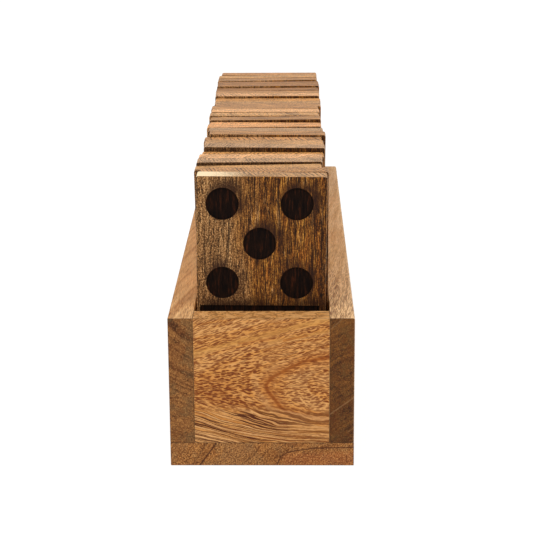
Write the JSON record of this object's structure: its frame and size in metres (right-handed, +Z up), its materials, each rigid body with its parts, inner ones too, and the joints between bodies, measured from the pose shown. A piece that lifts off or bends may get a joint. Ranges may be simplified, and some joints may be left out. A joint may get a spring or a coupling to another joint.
{
  "type": "domino storage box",
  "caption": "Open rectangular wooden box, glued up from butt-jointed boards, that stores a full set of large wooden dominoes standing on end in one row.",
  "frame": {"origin": "middle of the box's underside", "axes": "+X to the right seen from the front, +Y along the box from the front panel to the back one, +Z up"},
  "size_m": [0.09, 0.34, 0.1433],
  "materials": {
    "base_wood": "oiled hardwood, satin",
    "side_wood": "oiled hardwood, satin",
    "panel_wood": "oiled hardwood, satin",
    "domino_wood": "hardwood with a dark stained face, burnt pips and pale sanded edges"
  },
  "bodies": {
    "box": {"bottom_board": "base_wood", "left_side": "side_wood", "right_side": "side_wood", "front_panel": "panel_wood", "back_panel": "panel_wood"},
    "domino_5_5": {"domino_5_5": "domino_wood"},
    "domino_5_6": {"domino_5_6": "domino_wood"},
    "domino_6_6": {"domino_6_6": "domino_wood"},
    "domino_0_0": {"domino_0_0": "domino_wood"},
    "domino_0_1": {"domino_0_1": "domino_wood"},
    "domino_0_2": {"domino_0_2": "domino_wood"},
    "domino_0_3": {"domino_0_3": "domino_wood"},
    "domino_0_4": {"domino_0_4": "domino_wood"},
    "domino_0_5": {"domino_0_5": "domino_wood"},
    "domino_0_6": {"domino_0_6": "domino_wood"},
    "domino_1_1": {"domino_1_1": "domino_wood"},
    "domino_1_2": {"domino_1_2": "domino_wood"},
    "domino_1_3": {"domino_1_3": "domino_wood"},
    "domino_1_4": {"domino_1_4": "domino_wood"},
    "domino_1_5": {"domino_1_5": "domino_wood"},
    "domino_1_6": {"domino_1_6": "domino_wood"},
    "domino_2_2": {"domino_2_2": "domino_wood"},
    "domino_2_3": {"domino_2_3": "domino_wood"},
    "domino_2_4": {"domino_2_4": "domino_wood"},
    "domino_2_5": {"domino_2_5": "domino_wood"},
    "domino_2_6": {"domino_2_6": "domino_wood"},
    "domino_3_3": {"domino_3_3": "domino_wood"},
    "domino_3_4": {"domino_3_4": "domino_wood"},
    "domino_3_5": {"domino_3_5": "domino_wood"},
    "domino_3_6": {"domino_3_6": "domino_wood"},
    "domino_4_4": {"domino_4_4": "domino_wood"},
    "domino_4_5": {"domino_4_5": "domino_wood"},
    "domino_4_6": {"domino_4_6": "domino_wood"}
  },
  "joints": [
    {"name": "lift_5_5", "type": "slide", "parent": "box", "child": "domino_5_5", "axis": [0, 0, 1], "range_m": [0, 0.135]},
    {"name": "lift_5_6", "type": "slide", "parent": "box", "child": "domino_5_6", "axis": [0, 0, 1], "range_m": [0, 0.135]},
    {"name": "lift_6_6", "type": "slide", "parent": "box", "child": "domino_6_6", "axis": [0, 0, 1], "range_m": [0, 0.135]},
    {"name": "lift_0_0", "type": "slide", "parent": "box", "child": "domino_0_0", "axis": [0, 0, 1], "range_m": [0, 0.135]},
    {"name": "lift_0_1", "type": "slide", "parent": "box", "child": "domino_0_1", "axis": [0, 0, 1], "range_m": [0, 0.135]},
    {"name": "lift_0_2", "type": "slide", "parent": "box", "child": "domino_0_2", "axis": [0, 0, 1], "range_m": [0, 0.135]},
    {"name": "lift_0_3", "type": "slide", "parent": "box", "child": "domino_0_3", "axis": [0, 0, 1], "range_m": [0, 0.135]},
    {"name": "lift_0_4", "type": "slide", "parent": "box", "child": "domino_0_4", "axis": [0, 0, 1], "range_m": [0, 0.135]},
    {"name": "lift_0_5", "type": "slide", "parent": "box", "child": "domino_0_5", "axis": [0, 0, 1], "range_m": [0, 0.135]},
    {"name": "lift_0_6", "type": "slide", "parent": "box", "child": "domino_0_6", "axis": [0, 0, 1], "range_m": [0, 0.135]},
    {"name": "lift_1_1", "type": "slide", "parent": "box", "child": "domino_1_1", "axis": [0, 0, 1], "range_m": [0, 0.135]},
    {"name": "lift_1_2", "type": "slide", "parent": "box", "child": "domino_1_2", "axis": [0, 0, 1], "range_m": [0, 0.135]},
    {"name": "lift_1_3", "type": "slide", "parent": "box", "child": "domino_1_3", "axis": [0, 0, 1], "range_m": [0, 0.135]},
    {"name": "lift_1_4", "type": "slide", "parent": "box", "child": "domino_1_4", "axis": [0, 0, 1], "range_m": [0, 0.135]},
    {"name": "lift_1_5", "type": "slide", "parent": "box", "child": "domino_1_5", "axis": [0, 0, 1], "range_m": [0, 0.135]},
    {"name": "lift_1_6", "type": "slide", "parent": "box", "child": "domino_1_6", "axis": [0, 0, 1], "range_m": [0, 0.135]},
    {"name": "lift_2_2", "type": "slide", "parent": "box", "child": "domino_2_2", "axis": [0, 0, 1], "range_m": [0, 0.135]},
    {"name": "lift_2_3", "type": "slide", "parent": "box", "child": "domino_2_3", "axis": [0, 0, 1], "range_m": [0, 0.135]},
    {"name": "lift_2_4", "type": "slide", "parent": "box", "child": "domino_2_4", "axis": [0, 0, 1], "range_m": [0, 0.135]},
    {"name": "lift_2_5", "type": "slide", "parent": "box", "child": "domino_2_5", "axis": [0, 0, 1], "range_m": [0, 0.135]},
    {"name": "lift_2_6", "type": "slide", "parent": "box", "child": "domino_2_6", "axis": [0, 0, 1], "range_m": [0, 0.135]},
    {"name": "lift_3_3", "type": "slide", "parent": "box", "child": "domino_3_3", "axis": [0, 0, 1], "range_m": [0, 0.135]},
    {"name": "lift_3_4", "type": "slide", "parent": "box", "child": "domino_3_4", "axis": [0, 0, 1], "range_m": [0, 0.135]},
    {"name": "lift_3_5", "type": "slide", "parent": "box", "child": "domino_3_5", "axis": [0, 0, 1], "range_m": [0, 0.135]},
    {"name": "lift_3_6", "type": "slide", "parent": "box", "child": "domino_3_6", "axis": [0, 0, 1], "range_m": [0, 0.135]},
    {"name": "lift_4_4", "type": "slide", "parent": "box", "child": "domino_4_4", "axis": [0, 0, 1], "range_m": [0, 0.135]},
    {"name": "lift_4_5", "type": "slide", "parent": "box", "child": "domino_4_5", "axis": [0, 0, 1], "range_m": [0, 0.135]},
    {"name": "lift_4_6", "type": "slide", "parent": "box", "child": "domino_4_6", "axis": [0, 0, 1], "range_m": [0, 0.135]}
  ]
}
